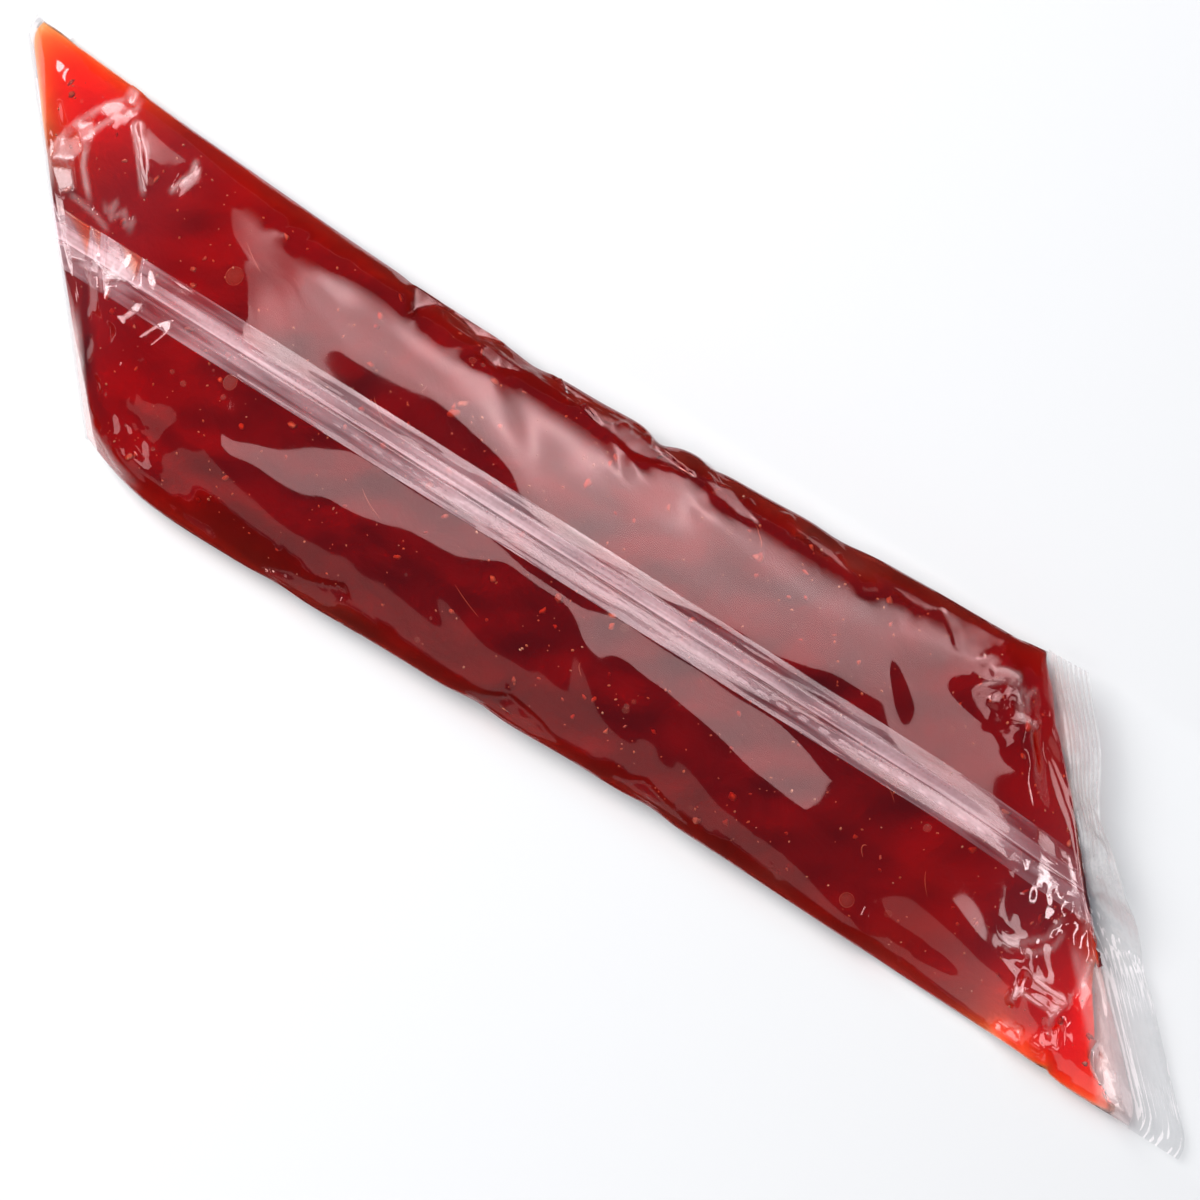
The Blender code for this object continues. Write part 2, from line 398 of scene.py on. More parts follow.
# What the softboxes show depends on how steep the film is across the bag, so its slope is set along the tube.
# Each line is x, y, x, y and so on: the level tongues beside the seam, and where the film turns steeper.
TONGUES = ((-104, 12, -97, 18.4, -92, 15.9, -83, 17.5, -76, 19.8, -63, 19, -50, 16.3, -38, 14.2, -31, 11.3,
            -26, 6),
           (20, 6, 39, 9.8, 47, 8.4, 59, 11.1, 67, 13.4, 77, 13.1, 84, 15.5, 89, 16.3, 93, 6))
LEVEL_TO = (-135, -14, -118, -20, -111.6, -21.5, -100.8, -17, -91.7, -10.3, -79.2, -6.2, -32, -6.2, -25, -8,
            -21, -9.3, -8, -9.3, -2.6, -9, 1, -7.5, 5.7, -6.2, 61, -7, 72, -9.5, 80.6, -12.8, 88, -13,
            110, -11)
TURN_AT = (-135, -22, -118, -22, -111.6, -22.4, -100.8, -22.8, -96.7, -23.6, -87.5, -22.4, -79.2, -19.9,
           -70.9, -20.7, -58.4, -19.1, -50, -16.6, -32.6, -11.6, -25, -9, -21, -9.3, -8, -9.3, -4, -12,
           -2, -16, 4, -18, 9, -15, 14, -14.1, 20.7, -16.2, 26.5, -15.7, 34.8, -17, 47.3, -18.6,
           59.8, -20.7, 68.1, -22, 77.2, -24.1, 82.2, -23, 88, -20, 110, -19)
FALL_FROM = (-125, -37, -83, -34, -69, -31, -51, -30.3, -44, -27.5, -38.8, -24.3, -33.4, -27.8, -22, -31.1,
             -21, -33.6, -20, -31.1, -12.6, -30.3, -4.3, -33.6, 4, -32, 24.8, -32, 33, -29, 40.6, -24.3,
             42, -37, 47.3, -30.3, 59.8, -36.1, 79, -38.6, 120, -40)


def line_at(line, x):
    return np.interp(x, line[::2], line[1::2])


def wanted_slope(x, y, have):
    """The angle of the film across the bag, in degrees: over 0 where it faces +Y."""
    tongue = sum(line_at(line, x) * (x > line[0]) * (x < line[-2]) for line in TONGUES)
    uneven = 0.5 * waves(11, x, y, 40, 14)
    upper = blend(1.0, np.maximum(have, 5.5 + 0.3 * (y - 8) + uneven), smooth((y - tongue) / 1.2 + 0.5))
    level, turn, fall = line_at(LEVEL_TO, x), line_at(TURN_AT, x), line_at(FALL_FROM, x)
    down = blend(-1.5, -5.8 - 4.4 * np.clip((level - y) / np.maximum(level - turn, 1), 0, 1) + uneven,
                 smooth((level - y) / 1.0 + 0.5))
    down = blend(down, -15.5 - 0.3 * (turn - y) + uneven, smooth((turn - y) / 1.0 + 0.5))
    down = blend(down, np.minimum(have, -25.5), smooth((fall - y) / 1.2 + 0.5))
    return np.where(y > 0, blend(have, upper, smooth((y - 3) / 3) * (1 - smooth((y - 20) / 6))),
                    blend(have, down, smooth((-y - 3) / 3) * (1 - smooth((-y - 34) / 5))))


def laid(skin, normals):
    """The skin with its upper side lifted or lowered to follow the wanted slope."""
    x, y = skin[:, :HALF + 1, 0], skin[:, :HALF + 1, 1]
    have = np.degrees(np.arctan2(normals[:, :HALF + 1, 1], normals[:, :HALF + 1, 2]))
    change = np.tan(np.radians(have)) - np.tan(np.radians(wanted_slope(x, y, np.clip(have, -60, 60))))
    change = np.where(np.abs(have) < 60, change, 0) * smooth((146 - np.abs(x + 8)) / 34)
    steps = 0.5 * (change[:, 1:] + change[:, :-1]) * np.diff(y, axis=1)
    total = np.concatenate([np.zeros((len(x), 1)), np.cumsum(steps, 1)], 1)
    total = softened(total - total[:, HALF // 2, None], 3.0)
    fade = np.where(y > 0, 1 - smooth((y - 22) / 18), 1 - smooth((-y - 36) / 9))
    moved = skin.copy()
    moved[:, :HALF + 1, 2] += total * fade
    return moved


# the near end is evened out on its upper side
x, y, over = skin[..., 0], skin[..., 1], np.arange(RING) <= HALF
calm = smooth((x + 166) / 20) * (1 - smooth((x + 92) / 24)) * smooth((36 - y) / 8) * smooth((y - 4) / 6)
calm[:, HALF:] = 0
skin[..., 2] = blend(skin[..., 2], softened(skin[..., 2], 16.0), 0.9 * calm)
skin = laid(skin, grid_normals(skin))
# it holds its height until it falls away in a slanting line; the far end is rounder along -Y
shoulder = 2.5 * hill((x + 129 + 0.4 * (y - 19)) / 20) * (1 - smooth((np.abs(y) - 24) / 18))
saddle = 2.0 * hill((x - 138) / 18) * hill((y + 3) / 14)
rounding = 0.5 * smooth((x - 106) / 16) * (1 - smooth((x - 150) / 16))
rounding = rounding * np.clip((-y - 20) / 28, 0, 1.1) ** 2.2
skin[..., 2] = (skin[..., 2] + (shoulder + saddle) * over) * (1 - rounding)
normals = grid_normals(skin)

# --- creases ---


def pairs(numbers):
    return np.reshape(numbers, (-1, 2)).astype(float)


def within(x, y, corners):
    """How far inside a patch with these corners each point lies; the patch bulges outwards everywhere."""
    corners = pairs(corners)
    sides = list(zip(corners, np.roll(corners, -1, 0)))
    turning = sum(ax * by - ay * bx for (ax, ay), (bx, by) in sides)
    inside = np.full(np.shape(x), 1e9)
    for (ax, ay), (bx, by) in sides:
        off = ((bx - ax) * (y - ay) - (by - ay) * (x - ax)) / math.hypot(bx - ax, by - ay)
        inside = np.minimum(inside, off * np.sign(turning))
    return inside


CAMERA_HEIGHT, CAMERA_ABOVE = 809.0, 795.0      # over the floor, and over the film


def flattened(points, corners, shows, lift=0.3):
    """Presses a patch of the upper film flat: from above it mirrors what lies this many degrees to +Y."""
    x, y, z = np.moveaxis(points, -1, 0)
    share = smooth(within(x, y, corners) / 0.7 + 0.6)
    share[:, HALF + 1:] = 0
    core = share > 0.6
    if not core.any():
        return points
    middle = np.array((x[core].mean(), y[core].mean()))
    facing = ((0.06 * middle[0], shows) - np.degrees(middle / CAMERA_ABOVE)) / 2
    fall = np.tan(np.radians(facing))
    crown = math.tan(math.radians(6)) / np.ptp(y[core])
    flat = z[core].mean() + lift - fall[0] * (x - middle[0]) - fall[1] * (y - middle[1])
    flat = flat - crown * (y - middle[1]) ** 2 + 0.03 * waves(9, x, y, 9, 4)
    moved = points.copy()
    moved[..., 2] = blend(z, flat, share)
    return moved


def crumple(x, y, seed, count, patch, lengths, widths, heights, way, scatter):
    """Many small sharp folds. patch is where they lie: x, y, half its size each way, and its shear."""
    draw = np.random.default_rng(seed)
    total = np.zeros(np.shape(x))
    for _ in range(count):
        cy = patch[1] + draw.uniform(-1, 1) * patch[3]
        cx = patch[0] + draw.uniform(-1, 1) * patch[2] + patch[4] * (cy - patch[1])
        angle = math.radians(way + draw.normal() * scatter)
        length, width = draw.uniform(*lengths), draw.uniform(*widths)
        height = draw.uniform(*heights) * draw.choice((-1, 1))
        u = (x - cx) * math.cos(angle) + (y - cy) * math.sin(angle)
        v = (y - cy) * math.cos(angle) - (x - cx) * math.sin(angle)
        v = v + 0.12 * length * np.sin(u / length * 2.5 + draw.uniform(0, 6))
        ridge = np.maximum(1 - np.sqrt(v ** 2 + 0.2 ** 2) / width, 0)
        total = total + height * smooth(1 - np.abs(u) / length * 2) * ridge
    return total


def crease(x, y, line, width, height):
    """A sharp fold along a line of points, which dies out at its two ends."""
    line = pairs(line)
    near, place = np.full(np.shape(x), 1e9), np.zeros(np.shape(x))
    steps, run = np.hypot(*np.diff(line, axis=0).T), 0.0
    for (ax, ay), (bx, by), step in zip(line, line[1:], steps):
        t = np.clip(((x - ax) * (bx - ax) + (y - ay) * (by - ay)) / step ** 2, 0, 1)
        away = np.hypot(x - ax - t * (bx - ax), y - ay - t * (by - ay))
        place = np.where(away < near, (run + t * step) / steps.sum(), place)
        near = np.minimum(near, away)
        run += step
    return height * smooth(np.minimum(place, 1 - place) * 6) * np.maximum(1 - np.hypot(near, 0.15) / width, 0)


# Humps and hollows: x, y, half their size each way, height.
HUMPS = ((-50, 33, 12, 5, 0.6), (4, 30, 8, 6, -0.9), (-8, 31, 7, 3, 0.25), (15, 31, 6, 3, 0.3))
# What crumple() takes, from its seed on.
SOFT_CRUMPLES = (
    # the two ends: long soft folds, with sharper ones between them
    (21, 8, (-182, 26, 10, 18, -0.8), (14, 28), (4, 8), (0.2, 0.5), 100, 25),
    (22, 22, (-181, 24, 12, 24, -0.8), (5, 14), (1.6, 3.5), (0.1, 0.3), 95, 45),
    (23, 10, (-143, -24, 16, 16, -0.9), (12, 26), (4, 8), (0.4, 0.9), 60, 30),
    (24, 22, (-140, -27, 18, 16, -0.9), (4, 11), (1.4, 3), (0.1, 0.28), 70, 60),
    (31, 12, (124, 32, 12, 14, -0.9), (8, 22), (2.5, 5), (0.25, 0.6), 60, 30),
    (32, 18, (122, 34, 14, 12, -0.9), (4, 11), (1.3, 2.6), (0.1, 0.3), 60, 50),
    (33, 14, (172, -24, 14, 22, -1.0), (8, 18), (2.5, 4.5), (0.15, 0.45), 50, 40),
    (34, 40, (172, -28, 18, 22, -1.0), (4, 12), (1.3, 2.6), (0.1, 0.3), 60, 60),
    # the long edges
    (41, 26, (-20, 40, 130, 5, 0), (6, 20), (1.6, 4), (0.15, 0.5), 70, 40),
    (42, 22, (10, -42, 130, 5, 0), (6, 18), (1.6, 4), (0.12, 0.4), 110, 40),
)
FINE_CRUMPLES = (
    # the smallest ones, which come last
    (25, 60, (-183, 26, 13, 26, -0.8), (4, 13), (0.9, 2.2), (0.06, 0.22), 100, 50),
    (26, 26, (-140, -30, 16, 13, -0.9), (4, 11), (0.9, 1.6), (0.08, 0.22), 60, 60),
    (35, 30, (114, 33, 12, 10, -0.9), (4, 11), (0.9, 2.0), (0.06, 0.2), 60, 50),
    (36, 60, (170, -26, 18, 22, -1.0), (4, 12), (0.9, 2.2), (0.06, 0.24), 60, 60),
    (43, 60, (-10, 39, 120, 4, 0), (4, 14), (0.9, 2.2), (0.05, 0.16), 70, 50),
    (44, 40, (10, -42, 120, 4, 0), (4, 14), (0.9, 2.2), (0.05, 0.14), 110, 50),
)
# Patches that stand flat: corners, the angle of what they mirror (the key spans 6 to 70), and any other lift.
PATCHES = (
    ((-188, 48.5, -184.5, 48.5, -183, 43, -186, 42.5), 57, 0.4),
    ((-186, 42.5, -183, 42.5, -186, 36.5, -190.5, 36, -189.5, 39.5), 30),
    ((-195, 30, -191.5, 34.5, -188, 31, -189.5, 26), 58),
    ((-197.5, 24.5, -194.5, 29.5, -189.5, 25.5, -191, 19.5, -196, 17.5), 55),
    ((-196, 17.5, -190.5, 20, -186, 15, -189.5, 11), 22),
    ((-179.8, 40.8, -177.4, 40, -172, 32.6, -168.4, 25.6, -166.6, 22.4, -173, 30.6, -177.6, 35.4), 42, 0.6),
    ((-160.6, 39.8, -157.8, 35, -159.4, 29.4, -161.4, 34), 48),
    # the facets along the +Y edge
    ((-91, 43, -79.5, 42.6, -86, 34.5), 60, 0.2),
    ((-81, 43.4, -59, 43, -67.5, 39.2), 52),
    ((-64, 39.8, -48.4, 38.2, -57.6, 34.4, -64.5, 35.2), 60, 0.2),
    ((-43, 42, -18.5, 41.2, -34.3, 39.2), 52),
    ((-33, 39.8, -18.5, 41.4, 5, 38.6, -12.6, 34.4, -23, 36.6), 58),
    ((5, 39.8, 16.5, 41.6, 27.5, 36.3, 20.7, 35.4, 13, 37.2), 54),
    ((29, 42, 47.3, 42.8, 61, 38.2, 46, 39.5), 58),
    ((62, 43, 84, 45, 76, 40.5), 60, 0.2),
    ((83, 45.5, 105, 47.4, 98, 37.4, 92, 36.4), 58),
    # along the -Y edge
    ((-84, -48, -61, -39.2, -59, -40.8, -63, -47.5), -52, 0.2),
    ((-17, -46.5, -2, -38.2, 6, -42.2, 16, -44, 5, -47), -52),
    ((30, -45, 39, -40, 44.5, -41.7, 56, -45), -52, 0.2),
    ((80, -39.8, 86.5, -42.2, 84.7, -45.4), -50, 0.2),
    # and at the far end
    ((103, 38.2, 111.5, 41, 113.4, 39, 105, 35.8), 40),
    ((109.4, 37, 111.8, 36.4, 110.8, 29.6, 107.8, 29.2), 48),
    ((118.2, 40, 116.9, 34, 112.8, 29.6, 115, 35.4), 48),
    ((114.2, 32.2, 123.8, 32.8, 123.6, 30.4, 115.2, 29.6), 36),
    ((144, -21.8, 151, -22, 153.8, -25.5, 149, -26), 44),
    ((159.5, -27.4, 170.2, -27.6, 173, -31.2, 160.6, -30.4), 48, 0.5),
    ((157.2, -30, 159.4, -30, 159.8, -38.6, 157.0, -38.4), 36),
    ((174.4, -21.8, 178.4, -23.4, 176.6, -30, 172.2, -28.7), 14, 0.5),
    ((166, -5.6, 172.8, -9.2, 175.4, -14.2, 168.4, -10.4), 44),
    ((187, -36, 196, -42.4, 204, -48, 196, -48, 189.4, -41.8), 48, 0.6),
    ((160, -44, 166, -43, 168, -48, 158, -48), 16, 0.2),
    ((170, -40, 174, -36, 177, -42, 173, -46, 169, -46), 14),
)
# Each fold that can be made out by itself: its line, its width and its height.
CREASES = (
    ((-191, 48.9, -187.8, 48, -186, 44, -189.2, 39.6, -192.2, 34.3, -194.8, 30, -197.4, 24.7, -198.3, 19.4,
      -193.9, 14.2, -190.4, 9.8), 1.5, 0.5),
    ((-183.9, 48, -182.2, 43.1, -183.9, 39.2, -186.9, 35.2, -189.2, 30.8, -188.7, 25.6, -186.9, 21.2,
      -183.9, 17.7, -179, 13), 1.5, 0.45),
    ((-180.3, 41.7, -179.9, 38.2, -177.3, 35.7, -172.9, 30.8, -169.4, 26.4, -166.4, 22.4), 1.5, 0.6),
    ((-160, 40.5, -158.4, 35.2, -160.1, 30, -161, 27), 1.4, 0.5),
    ((-177.3, 16.8, -174, 14, -172.9, 17.7, -172, 13, -169.4, 16.8, -167, 13.5, -165.9, 15.9,
      -164.7, 10.7), 1.4, 0.5),
    ((-188, 13, -177.5, 11.8, -170, 9.5), 1.4, 0.4),
    ((-160.6, -14, -156, -21, -151.9, -28.7), 4.5, 0.5),
    ((-154.5, -12.7, -149, -18, -145.7, -23.5), 3.5, 0.4),
    ((-149, -34, -140, -38, -131, -43, -122, -46), 1.6, 0.5),
    ((-144, -38.5, -136, -43, -128, -46), 1.5, 0.5),
    ((-133, -39, -126, -42, -117, -43), 1.5, 0.35),
    ((-141, -23, -139, -28, -142, -33, -138, -38), 1.4, 0.35),
    ((-132, -26, -128, -31, -131, -35, -127, -38), 1.3, 0.3),
    ((-136, -30, -133, -33.5, -129, -30), 1.3, 0.3),
    ((102.8, 36.4, 106.5, 39.2, 111.2, 40.2, 112.5, 37.9, 108.4, 36.8, 104.6, 33.6, 103.1, 30.8), 1.4, 0.4),
    ((114.9, 39.2, 114, 35.5, 116.8, 32.7, 118.7, 30.5, 121.5, 30.8, 126.1, 29.3), 1.4, 0.5),
    ((118, 40.2, 116.2, 36.4, 119.6, 31.8), 1.3, 0.35),
    ((155, -8, 157, -6.5, 160.7, -4.9, 164, -8, 167.2, -6.5, 166.3, -12.2), 1.5, 0.5),
    ((160, -9.5, 158.8, -12.2, 157.9, -17.8, 153.2, -21.5, 149.5, -25.2, 144.8, -26.2), 1.6, 0.6),
    ((162, -13, 161, -19, 156, -24, 151, -24), 1.5, 0.5),
    ((158.5, -29, 169.1, -30.5, 170, -34.2, 158.8, -34.6, 157, -40.2), 1.5, 0.5),
    ((172.8, -14, 174, -22, 172, -29, 170, -36, 174, -42), 1.7, 0.7),
    ((186, -34, 190, -41, 193, -46), 1.6, 0.6),
    ((189.3, -37, 194, -42, 199, -46), 1.6, 0.7),
    ((194, -39, 201, -46), 1.5, 0.5),
    ((160, -45, 164, -43.5, 167, -45), 1.4, 0.4),
)

skin_top = np.zeros(skin.shape[:2])
skin_top[:, 1:HALF] = smooth(np.minimum(np.arange(1, HALF), HALF - np.arange(1, HALF)) / 4.0)
from_seal = np.minimum(np.arange(ROWS + 1), ROWS - np.arange(ROWS + 1))[:, None] / ROWS * AXIS_LENGTH
skin_top = skin_top * smooth(from_seal / 4)
relief = 0.12 * waves(12, x, y, 45, 20) * smooth((np.abs(y - 1) - 9) / 12)
for px, py, half_x, half_y, height in HUMPS:
    relief = relief + height * hill((x - px) / half_x) * hill((y - py) / half_y)
relief = relief + sum(crumple(x, y, *folds) for folds in SOFT_CRUMPLES)
skin = skin + normals * (relief * skin_top)[..., None]
for patch in PATCHES:
    skin = flattened(skin, *patch)
x, y = skin[..., 0], skin[..., 1]
fine = sum(crease(x, y, *fold) for fold in CREASES) + sum(crumple(x, y, *folds) for folds in FINE_CRUMPLES)
skin = skin + grid_normals(skin) * (fine * skin_top)[..., None]
skin[..., 2] = np.clip(skin[..., 2], LOWEST, TOP_HEIGHT + 0.6)
normals = grid_normals(skin)


def put_mesh(name, points, faces, material, smooth_faces=True, **attributes):
    """A mesh object in metres, from points in millimetres."""
    mesh = bpy.data.meshes.new(name)
    faces = faces.tolist() if isinstance(faces, np.ndarray) else faces
    mesh.from_pydata((np.reshape(points, (-1, 3)) * MM).tolist(), [], faces)
    for key, values in attributes.items():
        values = np.asarray(values, float).ravel()
        mesh.attributes.new(key, "FLOAT", "POINT").data.foreach_set("value", values)
    if smooth_faces:
        mesh.shade_smooth()
    mesh.materials.append(material)
    return linked(name, mesh)


def grid_faces(rows, columns, wrap=False, first=0):
    index = first + np.arange(rows * columns).reshape(rows, columns)
    return quads(np.concatenate([index, index[:, :1]], 1) if wrap else index)


def capped_faces(rows, ring):
    """The faces of a closed tube, rows of a ring of points: both ends are closed straight across."""
    faces = grid_faces(rows, ring, wrap=True).tolist()
    for first, way in ((0, 1), ((rows - 1) * ring, -1)):
        for i in range(ring // 2):
            corners = dict.fromkeys((i, i + 1, ring - i - 1, (ring - i) % ring))
            faces.append([first + corner for corner in corners][::way])
    return faces


def sample(grid, row, column):
    """Values of a ring grid between its points."""
    row = np.clip(row, 0, grid.shape[0] - 1.000001)
    r, c = np.floor(row).astype(int), np.floor(column).astype(int)
    f, g = (row - r)[..., None], (column - c)[..., None]
    c0, c1 = c % grid.shape[1], (c + 1) % grid.shape[1]
    return blend(blend(grid[r, c0], grid[r + 1, c0], f), blend(grid[r, c1], grid[r + 1, c1], f), g)


# --- materials ---


def new_material(name):
    material = bpy.data.materials.new(name)
    material.use_nodes = True
    material.node_tree.nodes.clear()
    return material, material.node_tree


def node(tree, kind, inputs=None, out=0, **settings):
    """Adds a node with these inputs, numbers or other nodes' outputs, and gives one of its own outputs."""
    made = tree.nodes.new("ShaderNode" + kind)
    for key, value in settings.items():
        setattr(made, key, value)
    for key, value in (inputs or {}).items():
        if isinstance(value, bpy.types.NodeSocket):
            tree.links.new(value, made.inputs[key])
        else:
            made.inputs[key].default_value = value
    return made.outputs[out] if len(made.outputs) else made


def output(tree, surface, volume=None):
    inputs = {"Surface": surface} if volume is None else {"Surface": surface, "Volume": volume}
    node(tree, "OutputMaterial", inputs)


def attribute(tree, name):
    return node(tree, "Attribute", out="Fac", attribute_name=name)


def noise(tree, scale, detail, distortion=0.0):
    inputs = {"Vector": node(tree, "TexCoord", out="Object"), "Scale": scale, "Detail": detail,
              "Distortion": distortion}
    return node(tree, "TexNoise", inputs, "Fac")


def bumped(tree, height, strength, distance):
    return node(tree, "Bump", {"Height": height, "Strength": strength, "Distance": distance})


def worked_out(tree, operation, *values, clamp=False):
    return node(tree, "Math", dict(enumerate(values)), operation=operation, use_clamp=clamp)


def map_range(tree, value, low, high, to_low, to_high):
    return node(tree, "MapRange", {"Value": value, "From Min": low, "From Max": high, "To Min": to_low,
                                   "To Max": to_high})


def ramp(tree, value, colours, places):
    colour = node(tree, "ValToRGB", {"Fac": value}, "Color")
    for element, shade, place in zip(colour.node.color_ramp.elements, colours, places):
        element.color, element.position = (*shade, 1), place
    return colour


def mixed_colour(tree, share, first, second):
    return node(tree, "Mix", {"Factor": share, "A": first, "B": second}, "Result", data_type="RGBA")


def mixed_shader(tree, share, first, second):
    return node(tree, "MixShader", {0: share, 1: first, 2: second})


def clear(tree, grey=1.0):
    return node(tree, "BsdfTransparent", {"Color": (grey, grey, grey, 1)})


def principled(tree, colour, roughness, **more):
    return node(tree, "BsdfPrincipled", {"Base Color": colour, "Roughness": roughness, **more})


# what the film mirrors straight on, how much more of it over air, and what comes on top at a glance
MIRROR, AIR_GAIN, GLANCING = 0.07, 0.7, 0.12


def film_material(name, mirror_colour=(1, 0.88, 0.91), frost_colour=(0.88, 0.88, 0.9)):
    """Clear film: it mirrors by angle, more where it stands off the gel (air), and is whitened by frost,
    which on some facets and folds is partly a painted highlight.
    """
    material, tree = new_material(name)
    bump = bumped(tree, noise(tree, 110.0, 1.0), 0.05, 0.0002)
    facing = node(tree, "LayerWeight", {"Blend": 0.5}, "Facing")
    air = attribute(tree, "air")
    straight = worked_out(tree, "MULTIPLY_ADD", air, MIRROR * AIR_GAIN, MIRROR)
    glancing = worked_out(tree, "POWER", facing, 4.0)
    share = worked_out(tree, "MULTIPLY_ADD", glancing, GLANCING, straight, clamp=True)
    tint = mixed_colour(tree, air, (*mirror_colour, 1), (1.0, 0.88, 0.91, 1))
    gloss = node(tree, "BsdfGlossy", {"Color": tint, "Roughness": 0.05, "Normal": bump})
    film = mixed_shader(tree, share, clear(tree, 0.985), gloss)
    speckle = map_range(tree, noise(tree, 900.0, 3.0), 0.3, 0.7, 0.9, 1.1)
    amount = worked_out(tree, "MULTIPLY", attribute(tree, "frost"), speckle, clamp=True)
    white = principled(tree, (*frost_colour, 1), 0.3, Normal=bump)
    output(tree, mixed_shader(tree, amount, film, white))
    return material


def gel_material():
    """Clear red gel, which takes green and blue out of what passes through it."""
    material, tree = new_material("red_gel")
    gel = principled(tree, (1, 1, 1, 1), 0.02, **{"IOR": 1.12, "Transmission Weight": 1.0})
    rays = node(tree, "LightPath").node.outputs
    let_by = worked_out(tree, "MAXIMUM", rays["Is Shadow Ray"], rays["Is Diffuse Ray"])
    output(tree, mixed_shader(tree, let_by, gel, clear(tree)),
           node(tree, "VolumeAbsorption", {"Color": (0.975, 0.35, 0.0, 1), "Density": 330.0}))
    return material


def pulp_material():
    """Crushed fruit: dark in the middle and pale in places, with painted light: lighter red towards the
    shallow ends and orange at the tips.
    """
    material, tree = new_material("crushed_pulp")
    clouds = noise(tree, 60.0, 5.0, 0.6)
    colour = ramp(tree, clouds, ((0.07, 0.008, 0.012), (0.125, 0.016, 0.022)), (0.3, 0.7))
    for name, other in (("shallow", (0.19, 0.012, 0.018, 1)), ("glow", (0.85, 0.42, 0.16, 1)),
                        ("pale", (1.0, 0.8, 0.78, 1))):
        colour = mixed_colour(tree, attribute(tree, name), colour, other)
    output(tree, principled(tree, colour, 0.6, Normal=bumped(tree, clouds, 0.5, 0.002)))
    return material


def speck_material(name, *colours):
    material, tree = new_material(name)
    output(tree, principled(tree, ramp(tree, noise(tree, 220.0, 2.0), colours, (0.35, 0.65)), 0.45))
    return material


def bubble_material():
    """A bubble shows as a pale ring: it is clear in its middle, with a painted reflection that turns it white
    at its rim.
    """
    material, tree = new_material("bubble_painted_rim_reflection")
    amount = map_range(tree, node(tree, "LayerWeight", {"Blend": 0.35}, "Facing"), 0.35, 0.8, 0.03, 0.6)
    output(tree, mixed_shader(tree, amount, clear(tree), principled(tree, (0.95, 0.6, 0.55, 1), 0.3)))
    return material


def glowing(name, colour, strength):
    """A light. strength is a number, or the name of an attribute of the points."""
    material, tree = new_material(name)
    strength = attribute(tree, strength) if isinstance(strength, str) else strength
    output(tree, node(tree, "Emission", {"Color": (*colour, 1), "Strength": strength}))
    return material


# --- film ---

x, y = skin[..., 0], skin[..., 1]
frost = 0.003 * smooth((np.abs(x + 8) - 140) / 30)
# frost on the ribbon of facets at the near end and on the folds: stress whitening, and partly a painted
# highlight that makes them show white
for patch in PATCHES[:5]:
    frost = frost + 0.22 * smooth(within(x, y, patch[0]) / 1.2) * skin_top
for folds, white in ((CREASES[:4], 0.26), (CREASES[4:6], 0.12), (CREASES[14:], 0.16)):
    for line, _, _ in folds:
        frost = frost + crease(x, y, line, 1.2, white) * skin_top
frost = frost + crease(x, y, (-170, -12, -148, -40, -134, -45.5, -124, -47.5), 2.4, 0.3)
far_root = 161.2 - 0.9 * y
frost = frost + 0.2 * smooth((x - far_root + 12) / 3) * smooth((-y - 14) / 6)
film = put_mesh("film_sleeve", skin, grid_faces(ROWS + 1, RING, wrap=True),
                film_material("clear_film", mirror_colour=(1.0, 0.7, 0.72), frost_colour=(1.0, 0.82, 0.8)),
                frost=frost, air=smooth((np.abs(x + 8) - 132) / 28))

# --- gel ---


def inner_body(near, far, rows, columns, depth):
    """A closed body inside the film: depth(x, y) under it, from near to far, in mm from each seal."""
    share = np.linspace(0, 1, rows)[:, None]
    column = np.broadcast_to(np.arange(columns) * RING / columns, (rows, columns))
    across = np.minimum(column, RING - column) / HALF * 2 - 1
    start = near(across) / AXIS_LENGTH * ROWS
    end = (1 - far(across) / AXIS_LENGTH) * ROWS
    row = blend(start, end, share)
    points, outward = sample(skin, row, column), unit(sample(normals, row, column))
    middle = 0.5 * (points + sample(skin, row, (RING - column) % RING))
    wanted = depth(points[..., 0], points[..., 1])
    room = np.linalg.norm(points - middle, axis=-1)
    # in the far pocket it ends in a wedge
    wanted = wanted + 0.42 * room * smooth(1 - (1 - share) * AXIS_LENGTH / 9) * smooth((-across - 0.2) / 0.12)
    points = points - outward * np.minimum(wanted, 0.45 * room + 0.05)[..., None]
    return points, capped_faces(rows, columns)


def near_gap(across):
    """How far the gel stops short of the near seal, along the tube."""
    return 0.6 + 0.6 * smooth((across - 0.8) / 0.2) + 3.0 * smooth((-across - 0.3) / 0.5)


def far_gap(across):
    """The same at the far seal, where a pocket of clear film stands open on the -Y side."""
    pocket = 9.5 * smooth((-across - 0.26) / 0.14) * (1 - 0.7 * smooth((-across - 0.72) / 0.28))
    return 1.3 + pocket + 0.8 * np.sin(across * 23)


# where the film stands clear of the gel along its two long edges: x, half length
CLEAR_ABOVE = ((-70, 12), (-30, 13), (-2, 9), (19, 8), (46, 11), (95, 9))
CLEAR_BELOW = ((-64, 8), (2, 11), (42, 9), (84, 6))


def gel_depth(x, y):
    """The gel lies just under the film, and leaves the long edges clear where they stand out."""
    edge, under = (sum(hill((x - px) / half) for px, half in places) for places in (CLEAR_ABOVE, CLEAR_BELOW))
    edge, under = edge * smooth((y - 38.8) / 2), under * smooth((-y - 42.5) / 2)
    uneven = 0.75 + 0.35 * waves(8, x, y, 14, 5)
    return 0.25 + (4.4 * np.clip(edge, 0, 1) + 3.2 * np.clip(under, 0, 1)) * np.clip(uneven, 0, 1.3)


gel = put_mesh("filling_gel", *inner_body(near_gap, far_gap, 230, 160, gel_depth), gel_material())


